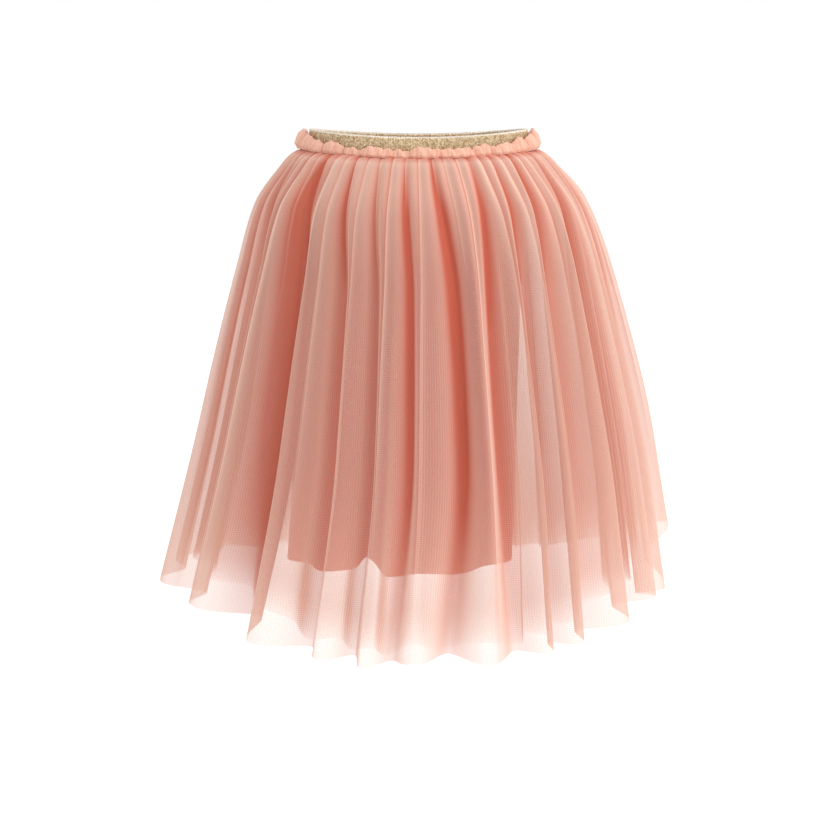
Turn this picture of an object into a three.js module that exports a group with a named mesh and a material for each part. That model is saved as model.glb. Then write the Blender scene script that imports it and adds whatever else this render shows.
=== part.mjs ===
import * as THREE from "three";

// A gathered tulle skirt held in its worn shape, in millimetres.
// The origin is the middle of the waistband, +Z is up and the front faces -Y.
// Angles run round the body in degrees: 0 at centre front, 90 at the +X side.

// Seams: how far apart the pieces are, and where the side seams of the panels are.
const SEAM_GAP = 0.3;
const SIDE_SEAM_ANGLE = 90;
const HALF_TURN = 180;

// Waistband: an elastic ring that rides a little higher over the hips.
const WAIST_HALF_WIDTH = 87;
const WAIST_HALF_DEPTH = 75;
const BAND_HEIGHT = 24;
const BAND_THICKNESS = 2;
const BAND_RISE_AT_SIDES = 5;
const BAND_COLUMNS = 64;

// Tulle: two gathered layers, the top edge of each lying on the outside of the band.
const TULLE_WALL = 1.2;
const COLUMNS_IN_GATHER = 4;
const COLUMNS_IN_UNDER_FOLD = 6;
const OUTER_TOP = -3;
const OUTER_LENGTH = 362;
const UNDER_TOP = -8;
const UNDER_CLEARANCE = 4;
const UNDER_FOLD_DEPTH = 16;
const FLANK_STEEPNESS = 0.8;

// Folds from the -X side seam across the front, then from the +X side seam across the back: the width
// of the fold at the hem in degrees, the depth of the valley on its first side at the hem, the number of
// fine gathers that feed it, how much its hem is lifted, and how far its crest stands out of the ring there.
const FRONT_FOLDS = [
  { width: 23, valley: 16, gathers: 4, lift: 20, flare: 4 },
  { width: 20, valley: 24, gathers: 4, lift: 19, flare: 0 },
  { width: 21, valley: 36, gathers: 3, lift: 4, flare: 0 },
  { width: 11, valley: 20, gathers: 2, lift: 0, flare: 0 },
  { width: 8, valley: 22, gathers: 2, lift: -4, flare: 0 },
  { width: 12, valley: 14, gathers: 2, lift: 0, flare: 0 },
  { width: 21, valley: 28, gathers: 3, lift: -3, flare: 0 },
  { width: 7, valley: 20, gathers: 2, lift: 1, flare: 0 },
  { width: 9, valley: 18, gathers: 2, lift: 3, flare: 0 },
  { width: 20, valley: 20, gathers: 3, lift: 9, flare: 0 },
  { width: 11, valley: 26, gathers: 2, lift: 17, flare: 0 },
  { width: 17, valley: 20, gathers: 3, lift: 10, flare: 0 },
];
const BACK_FOLDS = [
  { width: 21, valley: 16, gathers: 3, lift: 50, flare: 12 },
  { width: 18, valley: 24, gathers: 3, lift: 22, flare: 6 },
  { width: 12, valley: 26, gathers: 2, lift: 6, flare: 0 },
  { width: 10, valley: 20, gathers: 2, lift: -2, flare: 0 },
  { width: 15, valley: 18, gathers: 3, lift: -4, flare: 0 },
  { width: 9, valley: 24, gathers: 2, lift: -2, flare: 0 },
  { width: 11, valley: 18, gathers: 2, lift: 0, flare: 0 },
  { width: 19, valley: 30, gathers: 4, lift: -5, flare: 0 },
  { width: 10, valley: 22, gathers: 2, lift: 2, flare: 0 },
  { width: 17, valley: 20, gathers: 3, lift: 6, flare: 0 },
  { width: 16, valley: 28, gathers: 3, lift: 12, flare: 0 },
  { width: 22, valley: 20, gathers: 3, lift: 18, flare: 0 },
];

// Levels of the outer tulle: the drop below its top edge, the half width and half depth round its fold
// crests, the share of the full fold depth, the depth of the fine gathers, how far the spacing of the folds
// has gone from the even gathers of the waist (0) to the uneven folds of the hem (1), and the sway to +X.
const OUTER_LEVELS = [
  { drop: 0, halfWidth: 90.9, halfDepth: 78.9, foldShare: 0, gather: 2.4, spread: 0, sway: 0 },
  { drop: 3, halfWidth: 105, halfDepth: 92, foldShare: 0.03, gather: 3.4, spread: 0.02, sway: 0 },
  { drop: 16, halfWidth: 116.5, halfDepth: 102.5, foldShare: 0.1, gather: 4.4, spread: 0.1, sway: 0.5 },
  { drop: 45, halfWidth: 134, halfDepth: 118, foldShare: 0.26, gather: 3.2, spread: 0.3, sway: 1.5 },
  { drop: 100, halfWidth: 151, halfDepth: 134, foldShare: 0.48, gather: 1.0, spread: 0.6, sway: 3 },
  { drop: 215, halfWidth: 179, halfDepth: 161, foldShare: 0.76, gather: 0, spread: 0.85, sway: 3 },
  { drop: 362, halfWidth: 209, halfDepth: 191, foldShare: 1, gather: 0, spread: 1, sway: -3 },
];
// Drops of the under tulle's levels below its own top edge, which lies flat on the band.
const UNDER_DROPS = [11, 40, 95, 210, 347];
const UNDER_TOP_LEVEL = {
  halfWidth: WAIST_HALF_WIDTH + SEAM_GAP + TULLE_WALL,
  halfDepth: WAIST_HALF_DEPTH + SEAM_GAP + TULLE_WALL,
  spread: 0,
  sway: 0,
};

// Lining: a nearly straight tube that hangs from the lower edge of the band and sways to one side.
const LINING_WALL = 1.2;
const COLUMNS_IN_LINING_FOLD = 6;
const LINING_LEVELS = [
  { drop: 0, halfWidth: 87, halfDepth: 75, foldShare: 0, sway: 0 },
  { drop: 50, halfWidth: 88, halfDepth: 75, foldShare: 0.25, sway: -2 },
  { drop: 150, halfWidth: 91, halfDepth: 75, foldShare: 0.6, sway: -7 },
  { drop: 320, halfWidth: 96, halfDepth: 75, foldShare: 1, sway: -15 },
];
// Its soft folds: the width in degrees and the depth of the valley on the first side at the hem.
const LINING_FOLDS = [
  { width: 32, valley: 5 },
  { width: 34, valley: 9 },
  { width: 34, valley: 20 },
  { width: 40, valley: 9 },
  { width: 40, valley: 8 },
];

// Header ruffle: the rolled top edge of the tulle, a curled wall that stands on the seam line.
const RUFFLE_WALL = 1.2;
const RUFFLE_FOOT = -2.7;
const RUFFLE_REACH_LEAST = 4.5;
const RUFFLE_REACH_MOST = 8;
const RUFFLE_HEIGHT_LEAST = 7;
const RUFFLE_HEIGHT_MOST = 9.5;
const RUFFLE_HIGHER_AT_SIDES = 6;
const RUFFLE_FURTHER_AT_SIDES = 3;
const RUFFLE_SIDE_SHARPNESS = 8;
const COLUMNS_IN_RUFFLE_LOBE = 6;
// The curl from its foot over the top to the lip, as shares of the reach and of the height.
const RUFFLE_CURL = [
  { out: 0, up: 0 },
  { out: 0.1, up: 0.6 },
  { out: 0.4, up: 1 },
  { out: 0.75, up: 0.7 },
  { out: 1.1, up: 0.12 },
];

const lerp = THREE.MathUtils.lerp;
const radians = THREE.MathUtils.degToRad;

// How much higher the band is at an angle than at centre front.
function bandRise(angle) {
  return BAND_RISE_AT_SIDES * Math.sin(radians(angle)) ** 2;
}

// A point of an oval ring, moved towards its middle by the inset.
function ringPoint(angle, halfWidth, halfDepth, inset, z) {
  const turn = radians(angle);
  return new THREE.Vector3((halfWidth - inset) * Math.sin(turn), -(halfDepth - inset) * Math.cos(turn), z);
}

// A closed wall from a grid of points on its outer face (rows from top to bottom, columns round the body),
// the inner face being the same grid moved in along the normals. A run that is not a full ring ends
// at both side seams, half a gap short of the plane y = 0.
function clothWall(outer, thickness, isRing, seamSide) {
  const rows = outer.length;
  const columns = outer[0].length;
  const columnAt = (i) => (isRing ? (i + columns) % columns : THREE.MathUtils.clamp(i, 0, columns - 1));
  const rowAt = (j) => THREE.MathUtils.clamp(j, 0, rows - 1);
  const endColumns = isRing ? [] : [0, columns - 1];
  const seamPlane = (seamSide * SEAM_GAP) / 2;
  for (const row of outer) {
    for (const i of endColumns) {
      row[i].y = seamPlane;
    }
  }
  const inner = outer.map((row, j) =>
    row.map((point, i) => {
      const round = row[columnAt(i + 1)].clone().sub(row[columnAt(i - 1)]);
      const down = outer[rowAt(j + 1)][i].clone().sub(outer[rowAt(j - 1)][i]);
      const normal = down.cross(round).normalize();
      const moved = point.clone().addScaledVector(normal, -thickness);
      if (endColumns.includes(i)) {
        moved.y = seamPlane;
      }
      return moved;
    }),
  );
  const positions = [...outer.flat(), ...inner.flat()].flatMap((p) => [p.x, p.y, p.z]);
  const outerAt = (j, i) => j * columns + columnAt(i);
  const innerAt = (j, i) => rows * columns + j * columns + columnAt(i);
  const triangles = [];
  const quad = (a, b, c, d) => triangles.push(a, b, c, a, c, d);
  const spans = isRing ? columns : columns - 1;
  for (let i = 0; i < spans; i += 1) {
    for (let j = 0; j + 1 < rows; j += 1) {
      quad(outerAt(j, i), outerAt(j + 1, i), outerAt(j + 1, i + 1), outerAt(j, i + 1));
      quad(innerAt(j, i), innerAt(j, i + 1), innerAt(j + 1, i + 1), innerAt(j + 1, i));
    }
    quad(outerAt(0, i), outerAt(0, i + 1), innerAt(0, i + 1), innerAt(0, i));
    quad(outerAt(rows - 1, i), innerAt(rows - 1, i), innerAt(rows - 1, i + 1), outerAt(rows - 1, i + 1));
  }
  if (!isRing) {
    const last = columns - 1;
    for (let j = 0; j + 1 < rows; j += 1) {
      quad(outerAt(j, 0), innerAt(j, 0), innerAt(j + 1, 0), outerAt(j + 1, 0));
      quad(outerAt(j, last), outerAt(j + 1, last), innerAt(j + 1, last), innerAt(j, last));
    }
  }
  const geometry = new THREE.BufferGeometry();
  geometry.setAttribute("position", new THREE.Float32BufferAttribute(positions, 3));
  geometry.setIndex(triangles);
  geometry.computeVertexNormals();
  return geometry;
}

// The folds of a half (0 front, 1 back) in order round the body, each with its start and end angle
// at the waist and at the hem, and the valley depth and hem lift on both sides.
function foldsOfHalf(half) {
  const own = half === 0 ? FRONT_FOLDS : BACK_FOLDS;
  const other = half === 0 ? BACK_FOLDS : FRONT_FOLDS;
  const gatherAngle = HALF_TURN / own.reduce((sum, fold) => sum + fold.gathers, 0);
  let hem = half * HALF_TURN - SIDE_SEAM_ANGLE;
  let waist = hem;
  return own.map((fold, k) => {
    const before = own[k - 1] ?? other[other.length - 1];
    const after = own[k + 1] ?? other[0];
    const placed = {
      gathers: fold.gathers,
      hemStart: hem,
      hemEnd: hem + fold.width,
      waistStart: waist,
      waistEnd: waist + fold.gathers * gatherAngle,
      firstValley: fold.valley,
      lastValley: after.valley,
      firstLift: (before.lift + fold.lift) / 2,
      crestLift: fold.lift,
      lastLift: (fold.lift + after.lift) / 2,
      flare: fold.flare,
    };
    hem = placed.hemEnd;
    waist = placed.waistEnd;
    return placed;
  });
}

// Stations across a list of folds: each fold cut into equal steps, with a last station at the far seam.
function stations(folds, stepsIn) {
  const list = folds.flatMap((fold) => {
    const steps = stepsIn(fold);
    return Array.from({ length: steps }, (_, k) => ({ fold, t: k / steps }));
  });
  list.push({ fold: folds[folds.length - 1], t: 1 });
  return list;
}

// The outer tulle's level at any drop, between the rows of its table.
function outerLevel(drop) {
  const next = Math.max(1, OUTER_LEVELS.findIndex((level) => level.drop >= drop));
  const above = OUTER_LEVELS[next - 1];
  const below = OUTER_LEVELS[next];
  const share = (drop - above.drop) / (below.drop - above.drop);
  const level = {};
  for (const column of Object.keys(above)) {
    level[column] = lerp(above[column], below[column], share);
  }
  return level;
}

// The angle of a station: steps bunch up on the flanks, which makes them steep and rounds crests and valleys.
function foldAngle({ fold, t }, spread, steepness) {
  const across = t + (steepness * Math.sin(4 * Math.PI * t)) / (4 * Math.PI);
  const atWaist = lerp(fold.waistStart, fold.waistEnd, t);
  const atHem = lerp(fold.hemStart, fold.hemEnd, across);
  return lerp(atWaist, atHem, spread);
}

// The height of a point that hangs the given drop below a top edge. The rise at the sides ends at the hem.
function hangHeight(top, drop, angle) {
  return top - drop + bandRise(angle) * (1 - (drop - top) / (OUTER_LENGTH - OUTER_TOP));
}

// How much a station of a fold is lifted at the hem.
function hemLift({ fold, t }) {
  if (t < 0.5) {
    return lerp(fold.firstLift, fold.crestLift, 2 * t);
  }
  return lerp(fold.crestLift, fold.lastLift, 2 * t - 1);
}

// A point of a tulle layer: the level gives its ring, the inset how far inside that ring it is.
function tullePoint(station, level, inset, steepness, top, drop) {
  const angle = foldAngle(station, level.spread, steepness);
  const lifted = drop * (1 - hemLift(station) / OUTER_LENGTH);
  const point = ringPoint(angle, level.halfWidth, level.halfDepth, inset, hangHeight(top, lifted, angle));
  point.x += level.sway;
  return point;
}

function outerTulle(half) {
  const across = stations(foldsOfHalf(half), (fold) => fold.gathers * COLUMNS_IN_GATHER);
  const grid = OUTER_LEVELS.map((level) =>
    across.map((station) => {
      const { fold, t } = station;
      const valley = t < 0.5 ? fold.firstValley : fold.lastValley;
      const hollow = 0.5 + 0.5 * Math.cos(2 * Math.PI * t);
      const folded = level.foldShare * (valley * hollow - fold.flare * (1 - hollow));
      const gathered = level.gather * (0.5 + 0.5 * Math.cos(2 * Math.PI * fold.gathers * t));
      return tullePoint(station, level, folded + gathered, FLANK_STEEPNESS, OUTER_TOP, level.drop);
    }),
  );
  return clothWall(grid, TULLE_WALL, false, half === 0 ? -1 : 1);
}

// The under tulle keeps inside the valleys of the outer one, and has its own crests behind them.
function underTulle(half) {
  const across = stations(foldsOfHalf(half), () => COLUMNS_IN_UNDER_FOLD);
  const topRow = across.map((station) => tullePoint(station, UNDER_TOP_LEVEL, 0, 0, UNDER_TOP, 0));
  const rows = UNDER_DROPS.map((drop) => {
    const level = outerLevel(drop + OUTER_TOP - UNDER_TOP);
    return across.map((station) => {
      const { fold, t } = station;
      const behindValleys = lerp(fold.firstValley, fold.lastValley, t);
      const ownFold = UNDER_FOLD_DEPTH * (0.5 - 0.5 * Math.cos(2 * Math.PI * t));
      const inset = level.foldShare * (behindValleys + ownFold) + level.gather + UNDER_CLEARANCE;
      return tullePoint(station, level, inset, 0, UNDER_TOP, drop);
    });
  });
  return clothWall([topRow, ...rows], TULLE_WALL, false, half === 0 ? -1 : 1);
}

function lining(half) {
  let start = half * HALF_TURN - SIDE_SEAM_ANGLE;
  const folds = LINING_FOLDS.map((fold, k) => {
    const placed = {
      start,
      end: start + fold.width,
      firstValley: fold.valley,
      lastValley: LINING_FOLDS[(k + 1) % LINING_FOLDS.length].valley,
    };
    start = placed.end;
    return placed;
  });
  const across = stations(folds, () => COLUMNS_IN_LINING_FOLD);
  const top = -BAND_HEIGHT / 2 - SEAM_GAP;
  const grid = LINING_LEVELS.map((level) =>
    across.map(({ fold, t }) => {
      const valley = t < 0.5 ? fold.firstValley : fold.lastValley;
      const dip = valley * level.foldShare * (0.5 + 0.5 * Math.cos(2 * Math.PI * t));
      const angle = lerp(fold.start, fold.end, t);
      const z = hangHeight(top, level.drop, angle);
      const point = ringPoint(angle, level.halfWidth, level.halfDepth, dip, z);
      point.x += level.sway;
      return point;
    }),
  );
  return clothWall(grid, LINING_WALL, false, half === 0 ? -1 : 1);
}

function headerRuffle(half) {
  const across = stations(foldsOfHalf(half), () => COLUMNS_IN_RUFFLE_LOBE);
  const grid = RUFFLE_CURL.map(({ out, up }) =>
    across.map(({ fold, t }) => {
      const angle = lerp(fold.waistStart, fold.waistEnd, t);
      const lobe = 0.5 - 0.5 * Math.cos(2 * Math.PI * t);
      const atSide = Math.abs(Math.sin(radians(angle))) ** RUFFLE_SIDE_SHARPNESS;
      const reach = lerp(RUFFLE_REACH_LEAST, RUFFLE_REACH_MOST, lobe) + RUFFLE_FURTHER_AT_SIDES * atSide;
      const height = lerp(RUFFLE_HEIGHT_LEAST, RUFFLE_HEIGHT_MOST, lobe) + RUFFLE_HIGHER_AT_SIDES * atSide;
      const offset = SEAM_GAP + out * reach;
      const z = RUFFLE_FOOT + bandRise(angle) + up * height;
      return ringPoint(angle, WAIST_HALF_WIDTH, WAIST_HALF_DEPTH, -offset, z);
    }),
  );
  return clothWall(grid, RUFFLE_WALL, false, half === 0 ? -1 : 1);
}

function waistband() {
  const grid = [BAND_HEIGHT / 2, -BAND_HEIGHT / 2].map((edge) =>
    Array.from({ length: BAND_COLUMNS }, (_, i) => {
      const angle = (2 * HALF_TURN * i) / BAND_COLUMNS;
      return ringPoint(angle, WAIST_HALF_WIDTH, WAIST_HALF_DEPTH, 0, edge + bandRise(angle));
    }),
  );
  return clothWall(grid, BAND_THICKNESS, true, 0);
}

const goldElastic = new THREE.MeshStandardMaterial({ color: 0xc8ad89, roughness: 0.45, metalness: 0.5 });
const paleTulle = new THREE.MeshStandardMaterial({ color: 0xe5b5a6, roughness: 0.85, metalness: 0 });
const deepTulle = new THREE.MeshStandardMaterial({ color: 0xdba08f, roughness: 0.85, metalness: 0 });
const rolledTulle = new THREE.MeshStandardMaterial({ color: 0xebb7a0, roughness: 0.85, metalness: 0 });
const roseLining = new THREE.MeshStandardMaterial({ color: 0xcb7f6e, roughness: 0.8, metalness: 0 });

const skirt = new THREE.Group();
function add(name, geometry, material) {
  const mesh = new THREE.Mesh(geometry, material);
  mesh.name = name;
  skirt.add(mesh);
}

add("waistband", waistband(), goldElastic);
["front", "back"].forEach((side, half) => {
  add(`header_ruffle_${side}`, headerRuffle(half), rolledTulle);
  add(`tulle_outer_${side}`, outerTulle(half), paleTulle);
  add(`tulle_under_${side}`, underTulle(half), deepTulle);
  add(`lining_${side}`, lining(half), roseLining);
});

export default skirt;
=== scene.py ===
import math

import bpy
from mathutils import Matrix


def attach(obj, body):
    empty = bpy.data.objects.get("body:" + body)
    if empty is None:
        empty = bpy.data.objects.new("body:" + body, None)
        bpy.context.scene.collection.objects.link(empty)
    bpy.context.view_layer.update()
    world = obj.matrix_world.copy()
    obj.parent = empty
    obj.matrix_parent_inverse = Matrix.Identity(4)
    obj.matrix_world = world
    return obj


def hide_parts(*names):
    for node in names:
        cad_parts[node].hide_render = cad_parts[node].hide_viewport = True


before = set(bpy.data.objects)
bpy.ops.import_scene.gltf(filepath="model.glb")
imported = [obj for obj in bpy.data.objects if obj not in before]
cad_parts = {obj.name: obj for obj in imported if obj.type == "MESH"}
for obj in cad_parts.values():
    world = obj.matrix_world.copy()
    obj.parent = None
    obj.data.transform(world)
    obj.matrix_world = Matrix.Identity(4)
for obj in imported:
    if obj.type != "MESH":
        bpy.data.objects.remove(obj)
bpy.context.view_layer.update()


# Waistband
# A strip of gold lurex elastic, 24 mm wide and woven with fine ribs, joined to a ring at centre back.
# It rides higher over the hips, and every layer of the skirt is stitched to its outside.
MM = 0.001
WAIST_HALF_WIDTH = 87.0
WAIST_HALF_DEPTH = 75.0
BAND_HEIGHT = 24.0
BAND_THICKNESS = 2.0
BAND_RISE_AT_SIDES = 5.0
BAND_ROUND = 0.51
GOLD_DEEP = (0.42, 0.26, 0.12, 1)
GOLD_BRIGHT = (0.86, 0.70, 0.46, 1)
# Painted highlight: a pale cream line along the band's top edge, where the edge catches the light.
EDGE_HIGHLIGHT_CREAM = (0.88, 0.80, 0.68, 1)


def lerp(a, b, share):
    return a + (b - a) * share


def band_rise(angle):
    """How much higher the band is at an angle than at centre front."""
    return BAND_RISE_AT_SIDES * math.sin(math.radians(angle)) ** 2


def ring_point(angle, half_width, half_depth, inset, z, sway=0.0):
    """A point of an oval ring in metres, moved towards its middle by the inset. Angle 0 is centre front."""
    turn = math.radians(angle)
    x = (half_width - inset) * math.sin(turn) + sway
    y = -(half_depth - inset) * math.cos(turn)
    return (x * MM, y * MM, z * MM)


def cloth_grid(name, columns, rows, flat, place):
    """A grid of cloth moved to place(across, down), both 0 to 1, with its flat cut in metres as UV.

    A place can also give how many layers of net lie together there, and how much painted shade, 0 to 1, darkens its
    colour.
    """
    bpy.ops.object.select_all(action="DESELECT")
    bpy.ops.mesh.primitive_grid_add(x_subdivisions=columns, y_subdivisions=rows, size=1, calc_uvs=True)
    piece = bpy.context.object
    piece.name = name
    layers = piece.data.attributes.new("layers", "FLOAT", "POINT")
    painted_shade = piece.data.attributes.new("painted_shade", "FLOAT", "POINT")
    for vertex in piece.data.vertices:
        x, y, z, *folded = place(vertex.co.x + 0.5, 0.5 - vertex.co.y)
        vertex.co = (x, y, z)
        if folded:
            layers.data[vertex.index].value = folded[0]
            painted_shade.data[vertex.index].value = min(1.0, max(0.0, folded[1]))
    for corner in piece.data.uv_layers[0].data:
        corner.uv = (corner.uv[0] * flat[0], (1 - corner.uv[1]) * flat[1])
    piece.data.update()
    bpy.ops.object.shade_smooth()
    return piece


def thicken(piece, thickness, offset):
    """Gives a sheet its thickness."""
    solidify = piece.modifiers.new("thickness", "SOLIDIFY")
    solidify.thickness = thickness
    solidify.offset = offset
    bpy.context.view_layer.objects.active = piece
    bpy.ops.object.modifier_apply(modifier=solidify.name)


def new_material(name):
    """An empty material with a Principled shader, and its node helpers."""
    material = bpy.data.materials.new(name)
    material.use_nodes = True
    return material, material.node_tree.nodes, material.node_tree.links, material.node_tree.nodes["Principled BSDF"]


def math_node(nodes, links, operation, first, second=None):
    """A Math node fed by sockets or numbers."""
    node = nodes.new("ShaderNodeMath")
    node.operation = operation
    for socket, value in zip(node.inputs, (first, second)):
        if value is None:
            continue
        if isinstance(value, (int, float)):
            socket.default_value = value
        else:
            links.new(value, socket)
    return node.outputs[0]


def band_place(across, down):
    angle = 180 + 360 * across
    z = BAND_HEIGHT * (0.5 - down) + band_rise(angle)
    return ring_point(angle, WAIST_HALF_WIDTH, WAIST_HALF_DEPTH, 0, z)


waistband = cloth_grid("waistband_elastic", 256, 10, (BAND_ROUND, BAND_HEIGHT * MM), band_place)
bpy.ops.object.mode_set(mode="EDIT")
bpy.ops.mesh.select_all(action="SELECT")
bpy.ops.mesh.remove_doubles(threshold=0.00002)
bpy.ops.object.mode_set(mode="OBJECT")
thicken(waistband, BAND_THICKNESS * MM, -1)

gold, nodes, links, shader = new_material("gold_lurex")
uv = nodes.new("ShaderNodeUVMap")
flakes = nodes.new("ShaderNodeTexVoronoi")
flakes.inputs["Scale"].default_value = 900
links.new(uv.outputs["UV"], flakes.inputs["Vector"])
flake_mix = nodes.new("ShaderNodeMix")
flake_mix.data_type = "RGBA"
flake_mix.inputs["A"].default_value = GOLD_DEEP
flake_mix.inputs["B"].default_value = GOLD_BRIGHT
flake_value = nodes.new("ShaderNodeSeparateColor")
links.new(flakes.outputs["Color"], flake_value.inputs["Color"])
links.new(flake_value.outputs["Red"], flake_mix.inputs["Factor"])
# The top 1.1 mm of the band is painted cream as a painted highlight on its edge.
edge_highlight_mix = nodes.new("ShaderNodeMix")
edge_highlight_mix.data_type = "RGBA"
edge_highlight_mix.inputs["B"].default_value = EDGE_HIGHLIGHT_CREAM
links.new(flake_mix.outputs["Result"], edge_highlight_mix.inputs["A"])
uv_split = nodes.new("ShaderNodeSeparateXYZ")
links.new(uv.outputs["UV"], uv_split.inputs["Vector"])
links.new(math_node(nodes, links, "LESS_THAN", uv_split.outputs["Y"], 0.0011), edge_highlight_mix.inputs["Factor"])
links.new(edge_highlight_mix.outputs["Result"], shader.inputs["Base Color"])
ribs = nodes.new("ShaderNodeTexWave")
ribs.inputs["Scale"].default_value = 260
links.new(uv.outputs["UV"], ribs.inputs["Vector"])
rough = math_node(nodes, links, "MULTIPLY_ADD", flake_value.outputs["Green"], 0.45)
rough.node.inputs[2].default_value = 0.22
links.new(rough, shader.inputs["Roughness"])
shader.inputs["Metallic"].default_value = 0.55
height = math_node(nodes, links, "ADD", ribs.outputs["Fac"], flake_value.outputs["Blue"])
bump = nodes.new("ShaderNodeBump")
bump.inputs["Strength"].default_value = 0.7
bump.inputs["Distance"].default_value = 0.0006
links.new(height, bump.inputs["Height"])
links.new(bump.outputs["Normal"], shader.inputs["Normal"])
waistband.data.materials.append(gold)
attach(waistband, "root")
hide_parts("waistband")


# Outer tulle
# Two wide panels of soft peach net, gathered to the band and joined at the side seams, with a raw cut hem.
# Each row is one fold from the side seam at -X over the front, then from +X over the back. The valley before
# a fold is tucked under that fold (up to 1) or under the one before it (down to -1), with more net packed in it and
# painted shade on it.
TULLE_TOP = -3.0
TULLE_LENGTH = 362.0
TULLE_FLAT = (0.76, 0.385)
TULLE_ROWS = 64
COLUMNS_IN_GATHER = 15
TULLE_COLOUR = (0.84, 0.54, 0.43, 1)
# The colour of packed net in the valleys: partly denser net, partly painted shade.
TULLE_DENSE_AND_SHADED = (0.55, 0.12, 0.07, 1)
FRONT_FOLDS = [
    dict(width=23, valley=16, gathers=4, lift=20, flare=4, tuck=0.0, press_and_shade=0.6),
    dict(width=20, valley=24, gathers=4, lift=19, flare=0, tuck=0.8, press_and_shade=1.6),
    dict(width=21, valley=36, gathers=3, lift=4, flare=0, tuck=0.9, press_and_shade=4.6),
    dict(width=11, valley=20, gathers=2, lift=0, flare=0, tuck=0.9, press_and_shade=1.8),
    dict(width=8, valley=22, gathers=2, lift=-4, flare=0, tuck=0.8, press_and_shade=1.4),
    dict(width=12, valley=14, gathers=2, lift=0, flare=0, tuck=0.9, press_and_shade=3.0),
    dict(width=21, valley=28, gathers=3, lift=-3, flare=0, tuck=0.8, press_and_shade=3.2),
    dict(width=7, valley=20, gathers=2, lift=1, flare=0, tuck=-0.7, press_and_shade=2.2),
    dict(width=9, valley=18, gathers=2, lift=3, flare=0, tuck=-0.9, press_and_shade=1.9),
    dict(width=20, valley=20, gathers=3, lift=9, flare=0, tuck=-0.9, press_and_shade=1.9),
    dict(width=11, valley=26, gathers=2, lift=17, flare=0, tuck=-0.9, press_and_shade=1.7),
    dict(width=17, valley=20, gathers=3, lift=10, flare=0, tuck=-0.8, press_and_shade=1.2),
]
BACK_FOLDS = [
    dict(width=21, valley=16, gathers=3, lift=50, flare=12, tuck=0.0, press_and_shade=0.6),
    dict(width=18, valley=24, gathers=3, lift=22, flare=6, tuck=0.8, press_and_shade=1.4),
    dict(width=12, valley=26, gathers=2, lift=6, flare=0, tuck=0.9, press_and_shade=2.0),
    dict(width=10, valley=20, gathers=2, lift=-2, flare=0, tuck=0.7, press_and_shade=1.5),
    dict(width=15, valley=18, gathers=3, lift=-4, flare=0, tuck=0.9, press_and_shade=2.8),
    dict(width=9, valley=24, gathers=2, lift=-2, flare=0, tuck=0.8, press_and_shade=1.8),
    dict(width=11, valley=18, gathers=2, lift=0, flare=0, tuck=0.6, press_and_shade=2.4),
    dict(width=19, valley=30, gathers=4, lift=-5, flare=0, tuck=-0.8, press_and_shade=3.0),
    dict(width=10, valley=22, gathers=2, lift=2, flare=0, tuck=-0.9, press_and_shade=1.6),
    dict(width=17, valley=20, gathers=3, lift=6, flare=0, tuck=-0.8, press_and_shade=2.2),
    dict(width=16, valley=28, gathers=3, lift=12, flare=0, tuck=-0.9, press_and_shade=1.8),
    dict(width=22, valley=20, gathers=3, lift=18, flare=0, tuck=-0.8, press_and_shade=1.2),
]
# Each gather in turn can be followed this far down before it melts into its fold, with this sharp an edge.
GATHERS = [
    dict(reach=110, edge=0.5),
    dict(reach=300, edge=0.9),
    dict(reach=80, edge=0.4),
    dict(reach=460, edge=0.7),
    dict(reach=150, edge=0.8),
    dict(reach=90, edge=0.5),
    dict(reach=400, edge=1.0),
    dict(reach=130, edge=0.4),
    dict(reach=240, edge=0.7),
    dict(reach=75, edge=0.6),
    dict(reach=330, edge=0.5),
    dict(reach=100, edge=0.9),
    dict(reach=190, edge=0.6),
]
# Levels down the outer tulle: the ring round its crests, the share of the full folds, the depth of the gathers,
# how far the spacing has gone from even gathers (0) to the uneven folds of the hem (1), the sway to +X, the layers
# of net that the gathering brings together, how much of each valley's packed net and its painted shade shows, and
# how much of its tuck shows.
TULLE_LEVELS = [
    dict(drop=0, width=90.9, depth=78.9, fold=0.0, gather=2.4, spread=0.0, sway=0, net=4.0, press_and_shade=0.0, tuck=0.0),
    dict(drop=3, width=101, depth=89, fold=0.03, gather=3.4, spread=0.02, sway=0, net=2.8, press_and_shade=0.2, tuck=0.2),
    dict(drop=16, width=114, depth=100.5, fold=0.1, gather=4.4, spread=0.1, sway=0.5, net=2.5, press_and_shade=0.5, tuck=0.5),
    dict(drop=45, width=134, depth=118, fold=0.26, gather=3.6, spread=0.3, sway=1.5, net=1.7, press_and_shade=0.9, tuck=0.9),
    dict(drop=100, width=151, depth=134, fold=0.48, gather=2.4, spread=0.6, sway=3, net=1.1, press_and_shade=1.0, tuck=1.0),
    dict(drop=215, width=179, depth=161, fold=0.76, gather=1.8, spread=0.85, sway=3, net=1.05, press_and_shade=0.9, tuck=0.9),
    dict(drop=362, width=209, depth=191, fold=1.0, gather=1.2, spread=1.0, sway=-3, net=1.6, press_and_shade=0.25, tuck=0.35),
]


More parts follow.
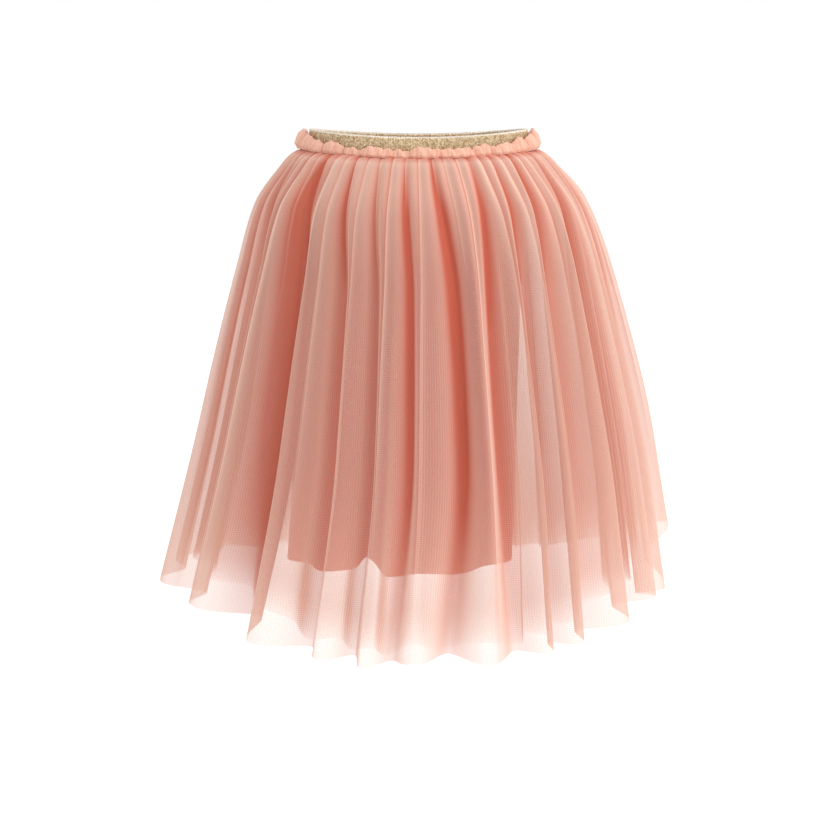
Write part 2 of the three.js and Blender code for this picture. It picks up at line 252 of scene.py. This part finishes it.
def level_at(levels, drop):
    """The levels' columns at any drop, on smooth curves that do not overshoot the rows."""
    last = len(levels) - 1
    k = max(i for i in range(last) if levels[i]["drop"] <= drop or i == 0)
    above, below = levels[k], levels[k + 1]
    span = below["drop"] - above["drop"]
    s = min(1.0, (drop - above["drop"]) / span)

    def slope(i, column):
        if i == 0 or i == last:
            j = 0 if i == 0 else last - 1
            return (levels[j + 1][column] - levels[j][column]) / (levels[j + 1]["drop"] - levels[j]["drop"])
        before = (levels[i][column] - levels[i - 1][column]) / (levels[i]["drop"] - levels[i - 1]["drop"])
        after = (levels[i + 1][column] - levels[i][column]) / (levels[i + 1]["drop"] - levels[i]["drop"])
        return 0.0 if before * after <= 0 else 2 * before * after / (before + after)

    level = {}
    for column in above:
        a, b = above[column], below[column]
        m, n = slope(k, column) * span, slope(k + 1, column) * span
        level[column] = (
            (2 * s**3 - 3 * s**2 + 1) * a + (s**3 - 2 * s**2 + s) * m + (3 * s**2 - 2 * s**3) * b + (s**3 - s**2) * n
        )
    return level


def placed_folds(own, other, start):
    """The folds of one half with their angles at waist and hem, and the valley and lift on both sides."""
    gather_angle = 180 / sum(fold["gathers"] for fold in own)
    hem = waist = start
    first = 0
    placed = []
    for k, fold in enumerate(own):
        before = own[k - 1] if k else other[-1]
        after = own[k + 1] if k + 1 < len(own) else other[0]
        placed.append(
            dict(
                fold,
                hem=(hem, hem + fold["width"]),
                waist=(waist, waist + fold["gathers"] * gather_angle),
                edges=(
                    hem + fold["tuck"] * (fold if fold["tuck"] > 0 else before)["width"] / 2,
                    hem + fold["width"] / 2,
                    hem + fold["width"] + after["tuck"] * (after if after["tuck"] > 0 else fold)["width"] / 2,
                ),
                first=first,
                outward=1 if fold["tuck"] < 0 else -1,
                valleys=(fold["valley"], after["valley"]),
                pressed_and_shade=(fold["press_and_shade"], after["press_and_shade"]),
                lifts=((before["lift"] + fold["lift"]) / 2, fold["lift"], (fold["lift"] + after["lift"]) / 2),
            )
        )
        hem, waist = placed[-1]["hem"][1], placed[-1]["waist"][1]
        first += fold["gathers"]
    return placed


def fold_at(folds, shares, across):
    """The fold under a share of the panel's width, and the place across that fold, 0 to 1."""
    total = sum(shares)
    walked = 0.0
    for fold, share in zip(folds, shares):
        if across * total <= walked + share + 1e-9:
            return fold, min(1.0, max(0.0, (across * total - walked) / share))
        walked += share
    return folds[-1], 1.0


def fold_angle(fold, t, spread, tuck):
    """The angle of a place across a fold, from one tucked valley over the crest to the next."""
    before, crest, after = fold["edges"]
    before = lerp(fold["hem"][0], before, tuck)
    after = lerp(fold["hem"][1], after, tuck)
    hem = lerp(before, crest, 2 * t) if t < 0.5 else lerp(crest, after, 2 * t - 1)
    return lerp(lerp(*fold["waist"], t), hem, spread)


def hang_height(fold, t, top, drop, angle):
    """The height of a place that hangs the given drop below a top edge, lifted as its fold is."""
    first, crest, last = fold["lifts"]
    lift = lerp(first, crest, 2 * t) if t < 0.5 else lerp(crest, last, 2 * t - 1)
    lifted = drop * (1 - lift / TULLE_LENGTH)
    return top - lifted + band_rise(angle) * (1 - (lifted - top) / (TULLE_LENGTH - TULLE_TOP))


def outer_place(folds):
    shares = [fold["gathers"] for fold in folds]

    def place(across, down):
        fold, t = fold_at(folds, shares, across)
        drop = TULLE_LENGTH * down**1.25
        level = level_at(TULLE_LEVELS, drop)
        half = 0 if t < 0.5 else 1
        hollow = 0.5 + 0.5 * math.cos(2 * math.pi * t)
        inset = level["fold"] * (fold["valleys"][half] * hollow**1.3 - fold["flare"] * (1 - hollow))
        gather = min(fold["gathers"] - 1, int(fold["gathers"] * t))
        along = fold["gathers"] * t - gather
        edges = [GATHERS[(fold["first"] + gather + k) % len(GATHERS)] for k in (0, 1)]
        if fold["outward"] < 0:
            along = 1 - along
            edges.reverse()
        kept = [edge["edge"] * max(0.0, 1 - (drop / edge["reach"]) ** 2) for edge in edges]
        rise = 0.5 - 0.5 * math.cos(2 * math.pi * along)
        inset += level["gather"] * (1 - (0.15 + 0.85 * lerp(*kept, along)) * rise)
        angle = fold_angle(fold, t, level["spread"], level["tuck"])
        z = hang_height(fold, t, TULLE_TOP, drop, angle)
        # Painted shadow just past each gather's edge, where the net also lies doubled; close before the next edge
        # the painted shade is taken off again, a painted light line where the doubled net also adds layers.
        edge_shadow = kept[0] * math.exp(-along / 0.2)
        light = kept[1] * math.exp((along - 1) / 0.08)
        sharp = lerp(3.5, 0.5, abs(math.sin(math.radians(fold["edges"][1]))))
        # Painted shade in each valley, partly the denser colour of packed net and partly shade, narrow at the front
        # and broader towards the sides.
        pressed_and_shade = level["press_and_shade"] * fold["pressed_and_shade"][half] * hollow**sharp
        layers = level["net"] + pressed_and_shade + 1.6 * edge_shadow + 2.4 * light
        # The top 3 mm also gets painted shadow under the roll.
        painted_shade = 0.42 * pressed_and_shade + 1.1 * edge_shadow - 0.4 * light + (0.5 if drop < 3 else 0.0)
        return (*ring_point(angle, level["width"], level["depth"], inset, z, level["sway"]), layers, painted_shade)

    return place


def net_group():
    """A node group with the threads of a fine net as a mask, from UV in metres and the size of a cell."""
    group = bpy.data.node_groups.new("net_threads", "ShaderNodeTree")
    group.interface.new_socket("UV", in_out="INPUT", socket_type="NodeSocketVector")
    group.interface.new_socket("Cells per metre", in_out="INPUT", socket_type="NodeSocketFloat")
    group.interface.new_socket("Threads", in_out="OUTPUT", socket_type="NodeSocketFloat")
    group_in = group.nodes.new("NodeGroupInput")
    group_out = group.nodes.new("NodeGroupOutput")
    cells = group.nodes.new("ShaderNodeTexVoronoi")
    cells.feature = "DISTANCE_TO_EDGE"
    cells.voronoi_dimensions = "2D"
    cells.inputs["Randomness"].default_value = 0.35
    group.links.new(group_in.outputs["UV"], cells.inputs["Vector"])
    group.links.new(group_in.outputs["Cells per metre"], cells.inputs["Scale"])
    threads = group.nodes.new("ShaderNodeMapRange")
    threads.inputs["From Min"].default_value = 0.06
    threads.inputs["From Max"].default_value = 0.22
    threads.inputs["To Min"].default_value = 1
    threads.inputs["To Max"].default_value = 0
    group.links.new(cells.outputs["Distance"], threads.inputs["Value"])
    group.links.new(threads.outputs["Result"], group_out.inputs["Threads"])
    return group


NET_THREADS = net_group()


def net_material(name, colour, shade_colour, cells, hole, thread, sheen):
    """Sheer net: threads cover more than holes, and layers lying together or seen at a glance cover more still. Its
    colour is mixed towards a painted shade colour as far as the mesh's painted shade attribute asks.
    """
    material, nodes, links, shader = new_material(name)
    uv = nodes.new("ShaderNodeUVMap")
    net = nodes.new("ShaderNodeGroup")
    net.node_tree = NET_THREADS
    net.inputs["Cells per metre"].default_value = cells
    links.new(uv.outputs["UV"], net.inputs["UV"])
    cover = math_node(nodes, links, "MULTIPLY_ADD", net.outputs["Threads"], thread - hole)
    cover.node.inputs[2].default_value = hole
    glance = nodes.new("ShaderNodeLayerWeight")
    glance.inputs["Blend"].default_value = 0.5
    facing = math_node(nodes, links, "MAXIMUM", math_node(nodes, links, "SUBTRACT", 1.0, glance.outputs["Facing"]), 0.25)
    layers = nodes.new("ShaderNodeAttribute")
    layers.attribute_name = "layers"
    through = math_node(nodes, links, "SUBTRACT", 1.0, cover)
    depth = math_node(nodes, links, "DIVIDE", layers.outputs["Fac"], facing)
    left = math_node(nodes, links, "POWER", through, depth)
    links.new(math_node(nodes, links, "SUBTRACT", 1.0, left), shader.inputs["Alpha"])
    # Painted shade: the net's colour is mixed towards its shade colour as far as the painted shade attribute asks.
    painted_shade = nodes.new("ShaderNodeAttribute")
    painted_shade.attribute_name = "painted_shade"
    shade_mix = nodes.new("ShaderNodeMix")
    shade_mix.data_type = "RGBA"
    shade_mix.inputs["A"].default_value = colour
    shade_mix.inputs["B"].default_value = shade_colour
    links.new(painted_shade.outputs["Fac"], shade_mix.inputs["Factor"])
    links.new(shade_mix.outputs["Result"], shader.inputs["Base Color"])
    shader.inputs["Roughness"].default_value = 0.85
    shader.inputs["Specular IOR Level"].default_value = 0.2
    shader.inputs["Sheen Weight"].default_value = sheen
    shader.inputs["Sheen Roughness"].default_value = 0.5
    return material


outer_net = net_material("outer_tulle_net", TULLE_COLOUR, TULLE_DENSE_AND_SHADED, 760, 0.22, 0.34, 0.15)
outer_halves = {"front": (FRONT_FOLDS, BACK_FOLDS, -90), "back": (BACK_FOLDS, FRONT_FOLDS, 90)}
for side, (own, other, start) in outer_halves.items():
    folds = placed_folds(own, other, start)
    columns = COLUMNS_IN_GATHER * sum(fold["gathers"] for fold in folds)
    outer = cloth_grid("outer_tulle_" + side, columns, TULLE_ROWS, TULLE_FLAT, outer_place(folds))
    outer.data.materials.append(outer_net)
    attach(outer, "root")
    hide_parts("tulle_outer_" + side)


# Under tulle
# Two narrower panels of the same net below the outer ones, gathered to the band, about 10 mm shorter.
# They keep inside the valleys of the outer layer and have their own crests behind them.
UNDER_TOP = -8.0
UNDER_LENGTH = 347.0
UNDER_FLAT = (0.50, 0.365)
UNDER_FOLD_DEPTH = 16.0
UNDER_CLEARANCE = 4.0
UNDER_SETTLES = 11.0
UNDER_DIP = 8.0
UNDER_ROWS = 72
COLUMNS_IN_UNDER_FOLD = 20
UNDER_COLOUR = (0.82, 0.49, 0.38, 1)
# Painted shade colour for the under net's valleys.
UNDER_SHADE_COLOUR = (0.70, 0.24, 0.16, 1)


def under_place(folds):
    shares = [1] * len(folds)

    def place(across, down):
        fold, t = fold_at(folds, shares, across)
        drop = UNDER_LENGTH * down**1.25
        level = level_at(TULLE_LEVELS, drop + TULLE_TOP - UNDER_TOP)
        settled = min(1.0, drop / UNDER_SETTLES)
        own_fold = UNDER_FOLD_DEPTH * (0.5 - 0.5 * math.cos(2 * math.pi * t))
        inset = level["fold"] * (lerp(*fold["valleys"], t) + own_fold) + level["gather"] + UNDER_CLEARANCE
        width = lerp(WAIST_HALF_WIDTH + 0.9, level["width"] - inset, settled)
        depth = lerp(WAIST_HALF_DEPTH + 0.9, level["depth"] - inset, settled)
        angle = lerp(lerp(*fold["waist"], t), lerp(*fold["hem"], t), level["spread"])
        z = hang_height(fold, t, UNDER_TOP, drop, angle) - UNDER_DIP * down * math.cos(math.radians(angle)) ** 2
        layers = lerp(0.5, 2.3, abs(math.sin(math.radians(angle))) ** 1.5)
        layers = lerp(layers, 2.4, down**6)
        if down > 0.94:
            layers = lerp(layers, 0.4, (down - 0.94) / 0.06)
        # Painted shade: darker at both edges of each fold, where the under net lies inside the outer net's valleys.
        painted_shade = 0.35 * (0.5 + 0.5 * math.cos(2 * math.pi * t))
        return (*ring_point(angle, width, depth, 0, z, level["sway"] * settled), layers, painted_shade)

    return place


under_net = net_material("under_tulle_net", UNDER_COLOUR, UNDER_SHADE_COLOUR, 700, 0.27, 0.38, 0.12)
for side, (own, other, start) in outer_halves.items():
    folds = placed_folds(own, other, start)
    under = cloth_grid(
        "under_tulle_" + side, COLUMNS_IN_UNDER_FOLD * len(folds), UNDER_ROWS, UNDER_FLAT, under_place(folds)
    )
    under.data.materials.append(under_net)
    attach(under, "root")
    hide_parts("tulle_under_" + side)


# Lining
# Two panels of opaque rose jersey sewn to the lower edge of the band, a nearly straight tube.
# It hangs in a few soft folds, with a deep one that lifts the hem left of the middle, and sways to one side.
LINING_TOP = -12.3
LINING_LENGTH = 320.0
LINING_FLAT = (0.305, 0.322)
LINING_THICKNESS = 0.8
LINING_ROWS = 48
COLUMNS_IN_LINING_FOLD = 24
LINING_COLOUR = (0.60, 0.065, 0.045, 1)
NOTCH_AT = -17.0
NOTCH_HALF_WIDTH = 8.0
NOTCH_RISE = 11.0
LINING_FOLDS = [
    dict(width=32, valley=5),
    dict(width=34, valley=9),
    dict(width=34, valley=20),
    dict(width=40, valley=9),
    dict(width=40, valley=8),
]
LINING_LEVELS = [
    dict(drop=0, width=87, depth=75, fold=0.0, sway=0),
    dict(drop=50, width=88, depth=75, fold=0.25, sway=-2),
    dict(drop=150, width=91, depth=75, fold=0.6, sway=-7),
    dict(drop=320, width=96, depth=75, fold=1.0, sway=-15),
]


def lining_place(start):
    folds = []
    for k, fold in enumerate(LINING_FOLDS):
        after = LINING_FOLDS[(k + 1) % len(LINING_FOLDS)]
        folds.append(dict(start=start, end=start + fold["width"], valleys=(fold["valley"], after["valley"])))
        start += fold["width"]
    shares = [1] * len(folds)

    def place(across, down):
        fold, t = fold_at(folds, shares, across)
        drop = LINING_LENGTH * down
        level = level_at(LINING_LEVELS, drop)
        valley = fold["valleys"][0] if t < 0.5 else fold["valleys"][1]
        inset = level["fold"] * valley * (0.5 + 0.5 * math.cos(2 * math.pi * t))
        angle = lerp(fold["start"], fold["end"], t)
        notch = NOTCH_RISE * math.exp(-(((angle - NOTCH_AT) / NOTCH_HALF_WIDTH) ** 4)) * down**6
        z = LINING_TOP - drop + band_rise(angle) * (1 - down) + notch
        return ring_point(angle, level["width"], level["depth"], inset, z, level["sway"])

    return place


rose, nodes, links, shader = new_material("rose_jersey")
uv = nodes.new("ShaderNodeUVMap")
stitches = nodes.new("ShaderNodeTexNoise")
stitches.inputs["Scale"].default_value = 900
links.new(uv.outputs["UV"], stitches.inputs["Vector"])
bump = nodes.new("ShaderNodeBump")
bump.inputs["Strength"].default_value = 0.25
bump.inputs["Distance"].default_value = 0.0004
links.new(stitches.outputs["Fac"], bump.inputs["Height"])
links.new(bump.outputs["Normal"], shader.inputs["Normal"])
shader.inputs["Base Color"].default_value = LINING_COLOUR
shader.inputs["Roughness"].default_value = 0.8
shader.inputs["Specular IOR Level"].default_value = 0.25
shader.inputs["Sheen Weight"].default_value = 0.15
for side, start in (("front", -90), ("back", 90)):
    lining = cloth_grid(
        "lining_jersey_" + side, COLUMNS_IN_LINING_FOLD * len(LINING_FOLDS), LINING_ROWS, LINING_FLAT, lining_place(start)
    )
    thicken(lining, LINING_THICKNESS * MM, -1)
    lining.data.materials.append(rose)
    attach(lining, "root")
    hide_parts("lining_" + side)


# Header ruffle
# The gathered top edge of the net, turned over to the outside in a soft uneven roll above the seam.
# It covers the whole band at the sides and about half of it at the front.
RUFFLE_FOOT = -4.7
RUFFLE_FLAT = (0.30, 0.024)
RUFFLE_COLUMNS = 420
RUFFLE_ROWS = 20
RUFFLE_COLOUR = (0.87, 0.49, 0.36, 1)
# Painted shade colour between the roll's lumps and at its foot.
RUFFLE_SHADE_COLOUR = (0.60, 0.18, 0.11, 1)
RUFFLE_LOBES = [
    dict(width=1.2, reach=7.5, height=11.0),
    dict(width=1.5, reach=6.0, height=9.0),
    dict(width=0.9, reach=8.0, height=8.0),
    dict(width=1.4, reach=6.5, height=9.5),
    dict(width=1.1, reach=5.0, height=6.5),
    dict(width=1.5, reach=8.0, height=8.5),
    dict(width=0.9, reach=6.0, height=7.0),
    dict(width=1.4, reach=7.5, height=9.0),
    dict(width=1.7, reach=8.5, height=8.0),
    dict(width=1.0, reach=6.0, height=9.5),
    dict(width=1.6, reach=8.0, height=8.5),
    dict(width=1.1, reach=6.5, height=10.0),
    dict(width=1.5, reach=8.0, height=9.0),
    dict(width=1.0, reach=7.0, height=11.0),
]
RUFFLE_CURL = [(0.0, 0.0), (0.08, 0.55), (0.4, 1.0), (0.75, 0.72), (1.02, 0.3), (0.85, 0.08)]


def ruffle_place(start):
    shares = [lobe["width"] for lobe in RUFFLE_LOBES]

    def place(across, down):
        lobe, t = fold_at(RUFFLE_LOBES, shares, across)
        angle = start + 180 * across
        at_side = abs(math.sin(math.radians(angle))) ** 8
        puff = math.sin(math.pi * t) ** 0.6
        lumps = 0.6 * math.sin(0.53 * angle + 4 * down) + 0.5 * math.sin(1.31 * angle - 6 * down + start)
        crinkle = math.sin(3.1 * angle + 3 * down) * math.sin(0.37 * angle + 2.0) + 0.6 * math.sin(5.3 * angle - 9 * down)
        reach = lobe["reach"] * lerp(0.68, 1.0, puff) + 3.0 * at_side + lumps * 0.9 + crinkle * 0.55 * down
        height = lobe["height"] * lerp(0.78, 1.0, puff) + 6.0 * at_side + lumps * 1.0 + crinkle * 0.7 * down
        step = down * (len(RUFFLE_CURL) - 1)
        k = min(len(RUFFLE_CURL) - 2, int(step))
        out = lerp(RUFFLE_CURL[k][0], RUFFLE_CURL[k + 1][0], step - k)
        up = lerp(RUFFLE_CURL[k][1], RUFFLE_CURL[k + 1][1], step - k)
        z = RUFFLE_FOOT + band_rise(angle) + up * height
        # Painted shade between the lumps and in the crinkles' hollows, and painted shadow at the roll's foot along
        # the seam.
        painted_shade = 0.25 * (1 - puff) + 0.12 * max(0.0, -crinkle) + (0.5 if down < 0.12 else 0.0)
        return (*ring_point(angle, WAIST_HALF_WIDTH, WAIST_HALF_DEPTH, -0.4 - out * reach, z), 2.0, painted_shade)

    return place


ruffle_net = net_material("rolled_tulle_net", RUFFLE_COLOUR, RUFFLE_SHADE_COLOUR, 620, 0.45, 0.7, 0.3)
for side, start in (("front", -90), ("back", 90)):
    ruffle = cloth_grid("ruffle_roll_" + side, RUFFLE_COLUMNS, RUFFLE_ROWS, RUFFLE_FLAT, ruffle_place(start))
    ruffle.data.materials.append(ruffle_net)
    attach(ruffle, "root")
    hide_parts("header_ruffle_" + side)


# Studio: a plain white floor far below the held skirt, white all round, soft light from the right and above.
FLOOR_HEIGHT = -0.75
AROUND = 0.86
bpy.ops.object.select_all(action="DESELECT")
bpy.ops.mesh.primitive_plane_add(size=12, location=(0, 0, FLOOR_HEIGHT))
floor = bpy.context.object
floor.name = "floor"
white, nodes, links, shader = new_material("white_floor")
shader.inputs["Base Color"].default_value = (0.2, 0.2, 0.2, 1)
shader.inputs["Roughness"].default_value = 1
shader.inputs["Emission Color"].default_value = (1, 1, 1, 1)
seen = math_node(nodes, links, "MULTIPLY_ADD", nodes.new("ShaderNodeLightPath").outputs["Is Camera Ray"], 1 - AROUND)
seen.node.inputs[2].default_value = AROUND
links.new(seen, shader.inputs["Emission Strength"])
floor.data.materials.append(white)

world = bpy.data.worlds.new("studio")
world.use_nodes = True
nodes, links = world.node_tree.nodes, world.node_tree.links
seen = math_node(nodes, links, "MULTIPLY_ADD", nodes.new("ShaderNodeLightPath").outputs["Is Camera Ray"], 1 - AROUND)
seen.node.inputs[2].default_value = AROUND
nodes["Background"].inputs["Color"].default_value = (1, 1, 1, 1)
links.new(seen, nodes["Background"].inputs["Strength"])
bpy.context.scene.world = world


def soft_light(name, place, aim, size, power):
    """A large square light that points at a place."""
    data = bpy.data.lights.new(name, "AREA")
    data.size = size
    data.energy = power
    lamp = bpy.data.objects.new(name, data)
    bpy.context.collection.objects.link(lamp)
    lamp.location = place
    towards = [b - a for a, b in zip(place, aim)]
    flat = math.hypot(towards[0], towards[1])
    lamp.rotation_euler = (math.atan2(flat, -towards[2]), 0, math.atan2(towards[1], towards[0]) - math.pi / 2)
    return lamp


soft_light("key", (1.7, -1.3, 1.0), (0, 0, -0.15), 1.2, 20)
soft_light("top", (0.4, -1.0, 1.7), (0, 0, -0.05), 1.0, 8)

camera_data = bpy.data.cameras.new("photo_view")
camera_data.sensor_width = 36
camera_data.lens = 72.61
camera = bpy.data.objects.new("photo_view", camera_data)
bpy.context.collection.objects.link(camera)
camera.location = (-0.004, -1.35, 0.037)
camera.rotation_euler = (math.radians(90 - 10.54), 0, 0)
bpy.context.scene.camera = camera
bpy.context.scene.view_settings.view_transform = "Standard"
bpy.context.scene.cycles.transparent_max_bounces = 32
